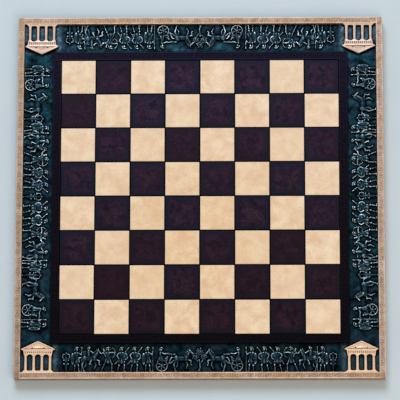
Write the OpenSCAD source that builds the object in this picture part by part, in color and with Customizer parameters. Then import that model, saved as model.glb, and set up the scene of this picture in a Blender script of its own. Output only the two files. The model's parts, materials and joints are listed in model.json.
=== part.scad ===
// Chessboard: a wooden panel framed in cast metal rails, with a raised moulding round
// sixty-four inlaid squares, a cast relief band outside it and a small temple at each corner.
// The origin is at the centre of the underside, +Z is up and the front side is at -Y.

/* [Squares] */
// Distance from one square to the next
square_pitch = 42; // [30:0.5:60]
// Width of the dark gap between two squares
square_gap = 1.3; // [0.4:0.02:1.6]
// Thickness of a square
square_t = 3; // [2:0.1:5]
// Bevel round the top of a square
square_bevel = 0.5; // [0.2:0.05:1]
// Radius of a square's corners
square_corner_r = 0.4; // [0.3:0.1:2]

/* [Panel, field board and felt] */
// Thickness of the felt under the board
felt_t = 1.5; // [0.8:0.1:3]
// Distance of the felt's edge from the board's edge
felt_inset = 2; // [1.4:0.1:2.4]
// Thickness of the wooden panel
panel_t = 8; // [6:0.5:16]
// Thickness of the black board under the squares
field_board_t = 3; // [1.5:0.1:6]
// Clearance round the field board and between the panel and the rails
fit_gap = 0.3; // [0.1:0.05:0.6]

/* [Border moulding] */
// Width of the moulding
border_w = 9.6; // [7.5:0.1:16]
// Gap between the outer squares and the moulding
border_gap = 0.4; // [0.3:0.05:1]
// Height of the moulding above the panel
border_h = 6.5; // [5:0.1:10]
// Width of the fillet along each edge of the moulding
border_fillet_w = 1.4; // [0.8:0.1:2]
// Depth of the channel between the two fillets
border_channel_d = 0.8; // [0.3:0.05:1.2]
// Distance from one bead of the moulding to the next
bead_pitch = 6.52; // [5.4:0.02:10]
// Radius of a bead
bead_r = 2.63; // [0.8:0.01:3.2]
// Height of a bead
bead_h = 0.5; // [0.2:0.05:0.7]

/* [Relief castings] */
// Width of the relief band that shows
relief_w = 35.5; // [28:0.5:50]
// Thickness of a relief casting's ground
relief_ground_t = 1.5; // [1:0.1:2.5]
// Width of the tongue that the moulding holds down
tongue_w = 3; // [2:0.1:3.5]
// Height of the figures' outlines above the ground
figure_low_h = 1.6; // [0.8:0.1:2]
// Height of the figures' raised parts above the ground
figure_high_h = 2.8; // [2.2:0.1:3.6]
// Bare ground between the rim and the figures' feet
figure_foot_gap = 0.8; // [0.4:0.1:2]
// Bare ground between the figures' heads and the moulding
figure_head_gap = 4.7; // [2:0.1:8]
// Bare ground between the last figure and the temple
frieze_end_gap = 9; // [7:0.5:16]

/* [Rim rails] */
// Width of a rail
rim_w = 7.5; // [6.5:0.1:12]
// Height of a rail above the panel
rim_h = 6.5; // [5:0.1:10]
// Thickness of the wall that covers the panel's edge
rim_wall_t = 1.2; // [0.8:0.1:1.5]
// Width of the polished line along each edge of a rail
rim_line_w = 0.9; // [0.5:0.1:1.4]
// Depth of the band between the two lines
rim_band_d = 0.4; // [0.2:0.05:0.8]
// Radius of the board's outer corners
rim_corner_r = 1.6; // [0.5:0.1:3]

/* [Corner temples] */
// Width of a temple over its eaves
temple_w = 41; // [36:0.2:44]
// Gap between a temple's eave and the side rail
temple_side_gap = 0.8; // [0.2:0.1:1]
// Thickness of a temple above the relief's ground
temple_t = 4.6; // [3.2:0.1:4.9]
// Bare ground between the eaves and the line of the moulding
eave_gap = 7.6; // [6:0.1:10]
// Height of the step under the columns
stylobate_h = 2; // [1:0.1:3]
// Height of the beam over the columns
entablature_h = 7.4; // [5.5:0.1:9]
// Height of the pediment
pediment_h = 9.6; // [7:0.1:11]
// Width of the beam over its lower edge
beam_w = 32.8; // [30:0.2:34]
// Distance from one column to the next
column_pitch = 9.7; // [8.6:0.1:10]
// Width of a column at its top
column_top_w = 2.7; // [1.6:0.1:3]
// Width of a column at its foot
column_foot_w = 3.6; // [2.4:0.1:4]
// Rise of the three low arches in the beam
arch_rise = 1.1; // [0.5:0.1:1.6]
// Width of one slot between the teeth of the dentil row
dentil_w = 0.9; // [0.6:0.1:1.2]
// Distance from one slot of the dentil row to the next
dentil_pitch = 2.5; // [2:0.1:3]
// Width of the low arch in the pediment
pediment_arch_w = 13; // [8:0.5:16]
// Rise of the low arch in the pediment
pediment_arch_rise = 2.6; // [1.5:0.1:3.5]
// Depth of the carving in the pediment and in the dentil row
carving_d = 1; // [0.4:0.1:1.6]

/* [Pins and screws] */
// Diameter of a temple's locating pin
pin_d = 2; // [1.5:0.1:2.6]
// Length of the pin below the relief's ground
pin_l = 4.5; // [3:0.1:6]
// Distance between a temple's two pins
pin_spacing = 24; // [20:0.5:26]
// Clearance round a pin, all the way across
pin_clearance = 0.3; // [0.1:0.05:0.5]
// Diameter of a screw
screw_d = 2.5; // [2:0.1:2.8]
// Diameter of a screw's head
screw_head_d = 5; // [4:0.1:5.4]
// Length of a screw with its head
screw_l = 12; // [10:0.5:12.5]
// Clearance round a screw, all the way across
screw_clearance = 0.2; // [0.1:0.05:0.3]
// Screws in each rail and in each side of the moulding
screws_per_side = 4; // [3:1:6]
// Distance of the screws in the rails from the rails' inner edge
rim_screw_in = 2.5; // [2.2:0.1:3]
// Distance of the screws in the moulding from its inner edge
border_screw_in = 2.9; // [2.2:0.1:3]

/* [Hidden] */
$fn = 48;

// A chessboard has eight squares a side
ranks = 8;

// Half sizes, from the middle outwards
field_half = ranks * square_pitch / 2;
border_in = field_half + border_gap;
border_out = border_in + border_w;
rim_in = border_out + relief_w;
rim_out = rim_in + rim_w;
panel_half = rim_out - rim_wall_t - fit_gap;

// Levels, from the underside up
panel_z = felt_t;
deck_z = panel_z + panel_t;
ground_z = deck_z + relief_ground_t;
square_z = deck_z + field_board_t;
border_top = deck_z + border_h;
rim_top = deck_z + rim_h;

// Temples: their eaves stand clear of the side rails, their steps stand against the front rail
temple_x = rim_in - temple_side_gap - temple_w / 2;
column_h = relief_w - eave_gap - stylobate_h - entablature_h;
eave_y = stylobate_h + column_h + entablature_h;
temple_h = eave_y + pediment_h;
pin_y = eave_y - entablature_h * 0.36;

// Figures are drawn 28 units high and fill the band between their two gaps
figure_k = (relief_w - figure_foot_gap - figure_head_gap) / 28;
frieze_half = rim_in - temple_side_gap - max(temple_w, temple_h) - frieze_end_gap;
sink = relief_ground_t / 3;

rail_bronze = "#b3907a";
temple_bronze = "#d3b499";
patina = "#26414d";
moulding_black = "#1a1826";
light_leather = "#e7cba8";
dark_leather = "#3a1a24";

// The places of the screws along one side of half length h, clear of the corners
function screw_places(h) = [
  for (i = [0 : screws_per_side - 1]) (2 * i + 1 - screws_per_side) / screws_per_side * h
];

// Copies its children to the four sides; side 0 is the front
module side(i) rotate(90 * i) children();

// A closed profile, given as [distance from the centre, height], run along the front side
module run(points, half) {
  translate([-half, 0, 0]) rotate([90, 0, 90]) linear_extrude(2 * half)
    polygon([for (p = points) [-p[0], p[1]]]);
}

// The wedge of the front side between the two mitres, as wide as it needs to be
module mitre(reach) {
  translate([0, 0, -1]) linear_extrude(rim_top + 10) polygon([[0, 0], [-reach, -reach], [reach, -reach]]);
}

// A square with round corners, in the flat
module round_square(half, r) {
  square([2 * half, 2 * (half - r)], center = true);
  square([2 * (half - r), 2 * half], center = true);
  for (x = [-1, 1], y = [-1, 1]) translate([x, y] * (half - r)) circle(r);
}

// One countersunk screw from the panel's underside up, grown by c all the way across
module screw(c) {
  head_h = (screw_head_d - screw_d) / 2;
  cylinder(h = head_h, d1 = screw_head_d + c, d2 = screw_d + c);
  cylinder(h = screw_l + c, d = screw_d + c);
}

module screw_with_slot() {
  difference() {
    screw(0);
    translate([0, 0, 0.25]) cube([screw_head_d + 1, 0.8, 1.1], center = true);
  }
}

// Every screw of one ring at distance r from the centre, spread over the half length h
module screw_ring(r, h, c) {
  for (i = [0 : 3], x = screw_places(h)) side(i) translate([x, -r, panel_z]) screw(c);
}

module slotted_screw_ring(r, h) {
  for (i = [0 : 3], x = screw_places(h)) side(i) translate([x, -r, panel_z]) screw_with_slot();
}

rim_screw_r = rim_in + rim_screw_in;
border_screw_r = border_in + border_screw_in;

// The two locating pins of each temple, seen from above the board
module temple_pins(d, top, length) {
  for (x = [-1, 1], y = [-1, 1], s = [-1, 1])
    translate([x * temple_x + s * pin_spacing / 2, y * (rim_in - pin_y), top - length])
      cylinder(h = length, d = d);
}

// Felt, panel and field board

module felt_backing() {
  color("#2a2a2c") linear_extrude(felt_t) round_square(rim_out - felt_inset, rim_corner_r);
}

module base_panel() {
  color("#6b4a33") difference() {
    translate([-panel_half, -panel_half, panel_z]) cube([2 * panel_half, 2 * panel_half, panel_t]);
    screw_ring(rim_screw_r, rim_in, screw_clearance);
    screw_ring(border_screw_r, border_in, screw_clearance);
    temple_pins(pin_d + pin_clearance, deck_z + 1, pin_l - relief_ground_t + 1 + pin_clearance);
  }
}

module field_board() {
  half = border_in - fit_gap;
  color("#0c0b0e") translate([-half, -half, deck_z]) cube([2 * half, 2 * half, field_board_t]);
}

// Squares

// One square with bevelled top edges
module inlaid_square() {
  half = (square_pitch - square_gap) / 2;
  difference() {
    linear_extrude(square_t) round_square(half, square_corner_r);
    for (i = [0 : 3]) side(i) translate([0, -half, square_t]) rotate([45, 0, 0])
      cube([2 * half + 4, square_bevel * sqrt(2), square_bevel * sqrt(2)], center = true);
  }
}

// The four light or dark squares of a rank; rank 1 is at the front and its first square is dark
module rank_squares(rank, light) {
  for (i = [0 : 2 : ranks - 2]) {
    file = i + ((rank + (light ? 0 : 1)) % 2 == 0 ? 0 : 1);
    translate([(file + 0.5) * square_pitch - field_half, (rank - 0.5) * square_pitch - field_half, square_z])
      inlaid_square();
  }
}

module light_squares(rank) color(light_leather) rank_squares(rank, true);
module dark_squares(rank) color(dark_leather) rank_squares(rank, false);

// Border moulding: two fillets with a row of beads between them, rebated over the relief's tongue

module border_side(i) {
  c = border_top - border_channel_d;
  e = 0.3;
  beads = floor(2 * (border_in + border_w / 2) / bead_pitch / 2) * 2;
  color(moulding_black) side(i) difference() {
    intersection() {
      union() {
        run([
          [border_in, deck_z], [border_out - tongue_w, deck_z], [border_out - tongue_w, ground_z],
          [border_out, ground_z], [border_out, border_top - e], [border_out - e, border_top],
          [border_out - border_fillet_w, border_top], [border_out - border_fillet_w, c],
          [border_in + border_fillet_w, c], [border_in + border_fillet_w, border_top],
          [border_in + e, border_top], [border_in, border_top - e]
        ], border_out);
        for (k = [0 : beads - 1])
          translate([(k + 0.5 - beads / 2) * bead_pitch, -(border_in + border_out) / 2, c - 0.5])
            cylinder(h = bead_h + 0.5, r = bead_r, $fn = 24);
      }
      mitre(border_out + 5);
    }
    screw_ring(border_screw_r, border_in, screw_clearance);
  }
}

// Rim rails: a flange on the panel and a wall down its edge; the side rails run past the others

module rail_section(half) {
  b = rim_top - rim_band_d;
  e = 0.3;
  run([
    [rim_in, deck_z], [panel_half + fit_gap, deck_z], [panel_half + fit_gap, panel_z],
    [rim_out, panel_z], [rim_out, rim_top - e], [rim_out - e, rim_top],
    [rim_out - rim_line_w, rim_top], [rim_out - rim_line_w, b],
    [rim_in + rim_line_w, b], [rim_in + rim_line_w, rim_top],
    [rim_in + e, rim_top], [rim_in, rim_top - e]
  ], half);
}

module rail_wall(half) {
  run([
    [panel_half + fit_gap, deck_z], [panel_half + fit_gap, panel_z], [rim_out, panel_z], [rim_out, deck_z]
  ], half);
}

module long_rail(i) {
  color(rail_bronze) side(i) difference() {
    intersection() {
      rail_section(rim_out);
      linear_extrude(rim_top + 1) round_square(rim_out, rim_corner_r);
    }
    screw_ring(rim_screw_r, rim_in, screw_clearance);
  }
}

module short_rail(i) {
  color(rail_bronze) side(i) difference() {
    union() {
      rail_section(rim_in);
      rail_wall(panel_half + fit_gap);
    }
    screw_ring(rim_screw_r, rim_in, screw_clearance);
  }
}

// Drawing of the relief figures, in units of one twenty-eighth of a figure's height.
// The level is 1 for the whole outline and 2 for the parts that stand out further.

// A limb that tapers from width wa at point a to width wb at point b
module limb(a, b, wa, wb) {
  n = [a[1] - b[1], b[0] - a[0]] / norm(b - a);
  polygon([a + n * wa / 2, b + n * wb / 2, b - n * wb / 2, a - n * wa / 2]);
}

// A bent limb with a round joint
module bent(a, b, c, wa, wb, wc) {
  limb(a, b, wa, wb);
  limb(b, c, wb, wc);
  translate(b) circle(d = wb, $fn = 12);
}

module disc(x, y, r) translate([x, y]) circle(r, $fn = 24);

module ring(x, y, r, w) translate([x, y]) difference() {
  circle(r, $fn = 36);
  circle(r - w, $fn = 36);
}

// A bowed strip round the point c
module bow(c, r, w, from, to) {
  steps = 8;
  polygon(concat(
    [for (k = [0 : steps]) let (t = from + (to - from) * k / steps) c + r * [cos(t), sin(t)]],
    [for (k = [steps : -1 : 0]) let (t = from + (to - from) * k / steps) c + (r - w) * [cos(t), sin(t)]]
  ));
}

// Chest and helmeted head of a standing man stand out; his tunic and crest don't
module upper_body(level) {
  if (level == 2) {
    polygon([[-3, 22.2], [-0.6, 23.7], [1.5, 23.7], [3, 22], [2, 16.2], [-1.8, 16.2]]);
    disc(0.6, 24.8, 1.6);
  } else {
    polygon([[-1.6, 17.4], [1.7, 17.4], [3.8, 10.6], [-3.2, 10.6]]);
    polygon([[-2, 24.4], [-1.6, 26.6], [0.2, 28], [2.2, 27.4], [2.4, 26.4], [0.4, 25.2]]);
  }
}

module spearman(level) {
  upper_body(level);
  if (level == 1) {
    bent([-1, 12.6], [-2.8, 7], [-4.6, 0.6], 2.6, 1.8, 1);
    bent([1.2, 12.6], [3.4, 7.4], [2.6, 0.6], 2.8, 1.9, 1);
    limb([-4.8, 0.5], [-2.6, 0.5], 1, 0.8);
    limb([2.2, 0.5], [4.8, 0.5], 1, 0.8);
    bent([-2.4, 21.4], [-5, 18.4], [-3.4, 14.8], 1.6, 1.4, 1.2);
    limb([-7.4, 8.6], [7.6, 26.4], 0.7, 0.7);
    polygon([[6.9, 26.2], [8.6, 28], [8, 25.4]]);
  } else disc(3.2, 17.2, 4.1);
}

module guard(level) {
  upper_body(level);
  if (level == 1) {
    bent([-0.8, 12.6], [-1.8, 7], [-2.2, 0.6], 2.6, 1.9, 1.1);
    bent([1.2, 12.6], [2.4, 7], [3, 0.6], 2.6, 1.9, 1.1);
    limb([-2.6, 0.5], [-0.6, 0.5], 1, 0.8);
    limb([2.6, 0.5], [5, 0.5], 1, 0.8);
    bent([2.2, 21.4], [5.2, 19.4], [6, 22.6], 1.6, 1.4, 1.1);
    limb([6, 0.2], [6, 27], 0.8, 0.7);
    polygon([[5.3, 26.2], [6, 28.4], [6.7, 26.2]]);
  } else polygon([[-6.4, 20], [-4.6, 21.2], [-2.4, 20.4], [-1.8, 9.6], [-3.6, 7.8], [-6, 9]]);
}

module archer(level) {
  upper_body(level);
  if (level == 1) {
    bent([-1, 12.6], [-4.2, 8.2], [-7.4, 0.8], 2.8, 1.9, 1);
    bent([1.4, 12.6], [4.6, 8.6], [4.4, 0.6], 2.8, 1.9, 1);
    limb([-7.6, 0.5], [-5.4, 0.5], 1, 0.8);
    limb([4, 0.5], [6.6, 0.5], 1, 0.8);
    limb([2.2, 21.6], [7.6, 21.4], 1.6, 1.1);
    bent([-2.2, 21.8], [-6, 21], [-3.4, 19.2], 1.6, 1.3, 1);
    bow([1.6, 21.4], 6.8, 0.8, -58, 58);
    limb([5, 15.8], [-1, 19.6], 0.5, 0.5);
    limb([5, 27], [-1, 22.2], 0.5, 0.5);
    limb([-4.2, 23.6], [-2.2, 17.4], 1.6, 1.3);
  }
}

module horse_body(level) {
  if (level == 2) {
    polygon([[-8, 17.6], [-5.6, 18.8], [0, 17.6], [4.6, 18.8], [7, 17], [7, 13.4], [4.6, 11.4],
      [0, 12.2], [-4.6, 11.2], [-8, 12.8], [-9, 15.4]]);
    limb([5, 16.6], [9.4, 23.6], 5.4, 3);
  } else {
    limb([9, 23], [12.6, 20.4], 3.2, 1.7);
    polygon([[8.4, 23.6], [9, 26.6], [10.4, 24]]);
    for (k = [0 : 3]) limb([5.2 + 1.1 * k, 19.6 + 1.5 * k], [2.8 + 1.1 * k, 21.4 + 1.6 * k], 1.2, 0.5);
  }
}

module horse(level) {
  horse_body(level);
  if (level == 1) {
    bent([-6.4, 13.4], [-8.8, 8], [-6.6, 0.8], 3.8, 1.9, 1.1);
    bent([-5, 13], [-4.6, 7.4], [-8.6, 1.8], 3.4, 1.7, 1);
    bent([5.4, 13.8], [10.6, 12.6], [10, 8.4], 2.6, 1.6, 1);
    bent([4.6, 13.2], [6.8, 8], [4.2, 4.2], 2.6, 1.6, 1);
    limb([10, 8.6], [11.4, 7.6], 1.2, 1.2);
    limb([-7, 0.6], [-5, 0.6], 1.1, 0.9);
    bow([-8.4, 9.4], 7.2, 1.5, 88, 178);
  }
}

module rider(level) {
  horse(level);
  if (level == 2) {
    polygon([[-4, 25], [0.8, 25], [0.2, 18.1], [-3, 17.8]]);
    disc(-1, 26.2, 1.5);
  } else {
    bent([0.2, 23.8], [3.6, 21], [7.2, 21.6], 1.4, 1.2, 0.8);
    bent([-3.4, 23.8], [-5.8, 22.4], [-4.6, 20], 1.4, 1.2, 0.8);
    limb([-1, 11.9], [-0.4, 8.6], 1.7, 1);
  }
}

module chariot(level) {
  if (level == 1) {
    ring(0, 6.9, 6.8, 1.2);
    for (a = [20, 80, 140]) limb([0, 6.9] - 6.2 * [cos(a), sin(a)], [0, 6.9] + 6.2 * [cos(a), sin(a)], 0.9, 0.9);
    polygon([[-5, 8.4], [-6.2, 11], [-3.4, 14.4], [3.8, 14.4], [6, 17.4], [7.6, 17], [5.6, 8.4]]);
    bent([4.6, 9.6], [9.6, 9.4], [15, 14.6], 1.1, 1, 0.9);
    bent([-0.4, 21.4], [3.4, 20], [7.2, 20.6], 1.6, 1.3, 1);
    limb([7, 20.5], [15.4, 20.4], 0.5, 0.5);
    polygon([[-2.8, 24.4], [-2.2, 26.7], [-0.2, 27.6], [1, 26.4], [-0.6, 25]]);
  } else {
    disc(0, 6.9, 1.5);
    polygon([[-3.9, 22], [-1.8, 23.5], [-0.1, 23.5], [1, 21.8], [0.4, 13.2], [-3.2, 13.2]]);
    disc(-0.8, 24.6, 1.6);
  }
}

module amphora(level) {
  half = level == 1
    ? [[0, 0], [1.4, 0], [1.2, 1], [3.6, 8], [4, 12], [2.6, 16], [1.3, 17.6], [1.3, 20.4], [2, 21.4], [0, 21.4]]
    : [[0, 4], [2.2, 7.4], [2.8, 11.6], [1.8, 14.8], [0, 15.6]];
  polygon(concat(half, [for (k = [len(half) - 2 : -1 : 1]) [-half[k][0], half[k][1]]]));
  if (level == 1) for (s = [-1, 1]) bow([s * 1.6, 17.4], 3, 0.8, 90 - s * 90 - 64, 90 - s * 90 + 64);
}

module olive_tree(level) {
  if (level == 1) {
    bent([-0.6, 0.2], [0.7, 6], [-0.3, 13], 2.6, 1.8, 1.4);
    limb([0.2, 8], [4.2, 14], 1.2, 0.8);
    limb([0.2, 9.6], [-4.2, 14.6], 1.2, 0.8);
    disc(0.3, 22.7, 4.3);
    disc(-4.6, 17.4, 3.9);
    disc(4.9, 17, 3.7);
  } else for (p = [[0.3, 22.7], [-4.6, 17.4], [4.9, 17]]) disc(p[0], p[1], 2.1);
}

// A figure by its number in the frieze
module figure(kind, level) {
  if (kind == 0) olive_tree(level);
  if (kind == 1) horse(level);
  if (kind == 2) chariot(level);
  if (kind == 3) spearman(level);
  if (kind == 4) guard(level);
  if (kind == 5) archer(level);
  if (kind == 6) rider(level);
  if (kind == 7) amphora(level);
}

// The frieze, as [kind, place from -1 to 1, 1 to face right or -1 to face left]
half_frieze_a = [
  [1, 0.13, -1], [2, 0.275, -1], [4, 0.38, -1], [3, 0.475, -1], [3, 0.57, -1],
  [5, 0.67, -1], [6, 0.8, -1], [4, 0.9, -1], [7, 0.975, 1]
];
half_frieze_b = [
  [3, 0.09, -1], [3, 0.185, -1], [5, 0.285, -1], [6, 0.41, -1], [4, 0.52, -1],
  [7, 0.59, 1], [1, 0.7, 1], [2, 0.85, 1], [4, 0.96, -1]
];

function whole_frieze(half, middle) = concat(
  [[middle, 0, 1]], half, [for (f = half) [f[0], -f[1], -f[2]]]
);

module frieze(list) {
  for (f = list) for (level = [1, 2])
    translate([f[1] * frieze_half, -rim_in + figure_foot_gap, ground_z - sink])
      linear_extrude(sink + (level == 1 ? figure_low_h : figure_high_h))
        scale(figure_k) mirror([f[2] < 0 ? 1 : 0, 0]) figure(f[0], level);
}

// One relief casting with mitred ends, its tongue under the moulding
module relief_side(i, list) {
  color(patina) side(i) difference() {
    union() {
      intersection() {
        run([
          [border_out - tongue_w, deck_z], [rim_in, deck_z], [rim_in, ground_z],
          [border_out - tongue_w, ground_z]
        ], rim_in);
        mitre(rim_in + 5);
      }
      frieze(list);
    }
    side(-i) temple_pins(pin_d + pin_clearance, ground_z + 1, relief_ground_t + 2);
  }
}

// Corner temples

// The temple's face, with its step at the bottom
module temple_outline() {
  beam_y = stylobate_h + column_h;
  polygon([[-beam_w / 2 - 2.8, 0], [beam_w / 2 + 2.8, 0], [beam_w / 2 + 0.6, stylobate_h],
    [-beam_w / 2 - 0.6, stylobate_h]]);
  for (k = [-1.5 : 1 : 1.5]) translate([k * column_pitch, 0]) {
    limb([0, stylobate_h - 0.2], [0, beam_y + 0.2], column_foot_w, column_top_w);
    translate([0, beam_y - 0.5]) square([column_top_w + 1, 1.2], center = true);
    translate([0, stylobate_h + 0.3]) square([column_foot_w + 0.8, 1], center = true);
  }
  difference() {
    polygon([[-beam_w / 2, beam_y], [beam_w / 2, beam_y], [beam_w / 2 + 1.2, eave_y - 1.6],
      [temple_w / 2 - 1.6, eave_y - 0.9], [temple_w / 2, eave_y], [0, temple_h], [-temple_w / 2, eave_y],
      [-temple_w / 2 + 1.6, eave_y - 0.9], [-beam_w / 2 - 1.2, eave_y - 1.6]]);
    arch_half = (column_pitch - column_top_w - 1.4) / 2;
    arch_r = (arch_half * arch_half + arch_rise * arch_rise) / (2 * arch_rise);
    for (k = [-1 : 1]) translate([k * column_pitch, beam_y + arch_rise - arch_r]) circle(arch_r);
  }
}

// The sunk face of the pediment, with a low arch left standing in it
module tympanum() {
  m = 2;
  w = temple_w / 2 - m * 3;
  h = pediment_h - m * 1.5;
  arch_r = (pediment_arch_w * pediment_arch_w / 4 + pediment_arch_rise * pediment_arch_rise)
    / (2 * pediment_arch_rise);
  translate([0, eave_y + 0.5]) difference() {
    polygon([[-w, 0], [w, 0], [0, h]]);
    intersection() {
      translate([0, pediment_arch_rise - arch_r]) circle(arch_r);
      translate([-w, -0.5]) square([2 * w, h]);
    }
  }
}

module temple() {
  difference() {
    translate([0, 0, ground_z]) linear_extrude(temple_t) temple_outline();
    translate([0, 0, ground_z + temple_t - carving_d]) linear_extrude(carving_d + 1) {
      tympanum();
      dentils = floor((beam_w / 2 - 1) / dentil_pitch);
      for (k = [-dentils : dentils]) translate([dentil_pitch * k, eave_y - entablature_h * 0.53])
        square([dentil_w, 1.8], center = true);
    }
  }
  for (s = [-1, 1]) translate([s * pin_spacing / 2, pin_y, ground_z - pin_l])
    cylinder(h = pin_l + 1, d = pin_d);
}

module temple_at(x, y) {
  color(temple_bronze) translate([x * temple_x, y * rim_in, 0]) rotate(y < 0 ? 0 : 180) temple();
}

felt_backing();
base_panel();
field_board();
short_rail(0);  // rim_rail_front
short_rail(2);  // rim_rail_back
long_rail(3);  // rim_rail_left
long_rail(1);  // rim_rail_right
relief_side(0, whole_frieze(half_frieze_a, 0));  // relief_front
relief_side(2, whole_frieze(half_frieze_a, 0));  // relief_back
relief_side(3, whole_frieze(half_frieze_b, 7));  // relief_left
relief_side(1, whole_frieze(half_frieze_b, 7));  // relief_right
temple_at(-1, -1);  // temple_front_left
temple_at(1, -1);  // temple_front_right
temple_at(-1, 1);  // temple_back_left
temple_at(1, 1);  // temple_back_right
border_side(0);  // border_front
border_side(2);  // border_back
border_side(3);  // border_left
border_side(1);  // border_right
light_squares(1);  // light_squares_rank_1
light_squares(2);  // light_squares_rank_2
light_squares(3);  // light_squares_rank_3
light_squares(4);  // light_squares_rank_4
light_squares(5);  // light_squares_rank_5
light_squares(6);  // light_squares_rank_6
light_squares(7);  // light_squares_rank_7
light_squares(8);  // light_squares_rank_8
dark_squares(1);  // dark_squares_rank_1
dark_squares(2);  // dark_squares_rank_2
dark_squares(3);  // dark_squares_rank_3
dark_squares(4);  // dark_squares_rank_4
dark_squares(5);  // dark_squares_rank_5
dark_squares(6);  // dark_squares_rank_6
dark_squares(7);  // dark_squares_rank_7
dark_squares(8);  // dark_squares_rank_8
color("#9a9a9a") slotted_screw_ring(rim_screw_r, rim_in);  // rim_screws
color("#9a9a9a") slotted_screw_ring(border_screw_r, border_in);  // border_screws
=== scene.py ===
"""Looks of a framed chessboard: leather squares, a black bead moulding round them, patinated
friezes with small temples in the corners, a flat cast rim, and felt below. Lengths are in
millimetres, apart from those that say metres."""
import json
import random
from math import asin, atan2, cos, floor, pi, radians, sin, sqrt

import bmesh
import bpy
from mathutils import Matrix, Vector
from mathutils.bvhtree import BVHTree

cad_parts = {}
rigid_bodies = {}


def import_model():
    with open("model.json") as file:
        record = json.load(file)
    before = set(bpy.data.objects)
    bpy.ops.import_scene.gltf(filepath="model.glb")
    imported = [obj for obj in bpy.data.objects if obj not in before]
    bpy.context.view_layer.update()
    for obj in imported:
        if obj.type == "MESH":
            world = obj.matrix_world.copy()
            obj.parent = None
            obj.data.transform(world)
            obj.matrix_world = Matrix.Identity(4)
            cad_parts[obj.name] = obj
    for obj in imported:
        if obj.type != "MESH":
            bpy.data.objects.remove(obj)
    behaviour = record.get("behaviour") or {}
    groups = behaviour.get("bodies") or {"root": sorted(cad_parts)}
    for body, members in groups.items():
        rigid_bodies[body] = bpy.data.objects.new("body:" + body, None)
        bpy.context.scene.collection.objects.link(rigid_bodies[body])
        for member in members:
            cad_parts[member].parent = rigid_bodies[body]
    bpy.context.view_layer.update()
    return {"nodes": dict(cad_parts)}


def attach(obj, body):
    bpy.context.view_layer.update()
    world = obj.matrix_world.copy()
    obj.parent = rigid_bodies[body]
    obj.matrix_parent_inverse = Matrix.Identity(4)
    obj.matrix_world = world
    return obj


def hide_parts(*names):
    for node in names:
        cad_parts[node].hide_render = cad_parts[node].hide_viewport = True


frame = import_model()

MM, PER_METRE = 0.001, 1000
SIDES = ("front", "right", "back", "left")

# Sizes, as in the part's source
PITCH, GAP, SQUARE_T = 42, 1.3, 3
FIELD_HALF = 168
BORDER_IN, BORDER_OUT = 168.4, 178
FILLET_W, CHANNEL_D, TONGUE_W = 1.4, 0.8, 3
BEAD_PITCH, BEAD_R = 6.52, 2.63
RIM_IN, RIM_OUT = 213.5, 221
WALL_IN, CORNER_R = 219.8, 1.6
LINE_W, BAND_D = 0.9, 0.4
PANEL_Z, DECK_Z, GROUND_Z, SQUARE_Z, TOP_Z = 1.5, 9.5, 11, 12.5, 16
TEMPLE_X, TEMPLE_HALF, TEMPLE_Z = 192.2, 20.5, 15.6
STEP_H, BEAM_Y, EAVE_Y, TEMPLE_H = 2, 20.5, 27.9, 37.5
BEAM_HALF, COLUMN_PITCH, DENTIL_PITCH = 16.4, 9.7, 2.5
COLUMN_FOOT, COLUMN_HEAD = 1.85, 1.5
ARCH_HALF, ARCH_RISE = 6.5, 2.6
FIGURE_K, FIGURE_FEET = 1.0714, 0.8
FRIEZE_HALF = 162.7

# The scene's own: where a temple and its columns begin, a bead's pit, painted dark with shade, as a share of
# its radius, the felt's set back, a figure's faces, voxels and reach of wear and painted highlight, and the
# ground's swells
TEMPLE_FROM, COLUMNS_FROM = 176, RIM_IN - BEAM_Y
PIT_SHARE, FELT_BACK = 0.45, 2
FIGURE_FACES, VOXEL, WEAR_AND_HIGHLIGHT_REACH = 3400, 0.26, 1.5
SWELL_SIZE, SWELL_H = 9, 1.1

# Tools: choosing and shaping as by hand


def mm(*place):
    """A place or size given in millimetres, in metres"""
    return Vector(place) * MM


def put_down():
    """Leaves edit mode with nothing selected"""
    if bpy.context.object and bpy.context.object.mode != "OBJECT":
        bpy.ops.object.mode_set(mode="OBJECT")
    bpy.ops.object.select_all(action="DESELECT")


def pick_up(piece):
    """Makes a piece the only one selected, and active"""
    put_down()
    piece.select_set(True)
    bpy.context.view_layer.objects.active = piece
    return piece


def open_up(piece):
    """Opens a piece in edit mode with all of it selected"""
    pick_up(piece)
    bpy.ops.object.mode_set(mode="EDIT")
    bpy.ops.mesh.select_all(action="SELECT")


def choose(piece, kind, passes):
    """Selects the corners, edges or faces whose middle and direction pass"""
    bpy.ops.mesh.select_mode(type=kind)
    bpy.ops.mesh.select_all(action="DESELECT")
    shape = bmesh.from_edit_mesh(piece.data)
    parts = {"VERT": shape.verts, "EDGE": shape.edges, "FACE": shape.faces}[kind]
    for part in parts:
        corners = [part] if kind == "VERT" else part.verts
        middle = sum((corner.co for corner in corners), Vector()) / len(corners) * PER_METRE
        if kind == "EDGE":
            way = (part.verts[1].co - part.verts[0].co).normalized()
        else:
            way = part.normal
        if passes(middle, way):
            part.select_set(True)
    bmesh.update_edit_mesh(piece.data)


def draw_up(*by):
    """Extrudes what is selected by a step"""
    bpy.ops.mesh.extrude_region_move(TRANSFORM_OT_translate={"value": mm(*by)})


def step_in(*steps):
    """Insets what is selected, again and again, by a width and a rise"""
    for width, rise in steps:
        bpy.ops.mesh.inset(thickness=width * MM, depth=rise * MM)


def face_out():
    """Turns every face of the open piece outwards"""
    bpy.ops.mesh.select_all(action="SELECT")
    bpy.ops.mesh.normals_make_consistent(inside=False)


def named(piece, name):
    piece.name = piece.data.name = name
    return piece


def made(name):
    """The object just added, named, with its place and size put into its mesh"""
    bpy.ops.object.transform_apply(location=True, rotation=True, scale=True)
    return named(bpy.context.object, name)


def block(name, low, high):
    """A box between two corners"""
    put_down()
    low, high = mm(*low), mm(*high)
    bpy.ops.mesh.primitive_cube_add(size=1, location=(low + high) / 2, scale=high - low)
    return made(name)


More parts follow.
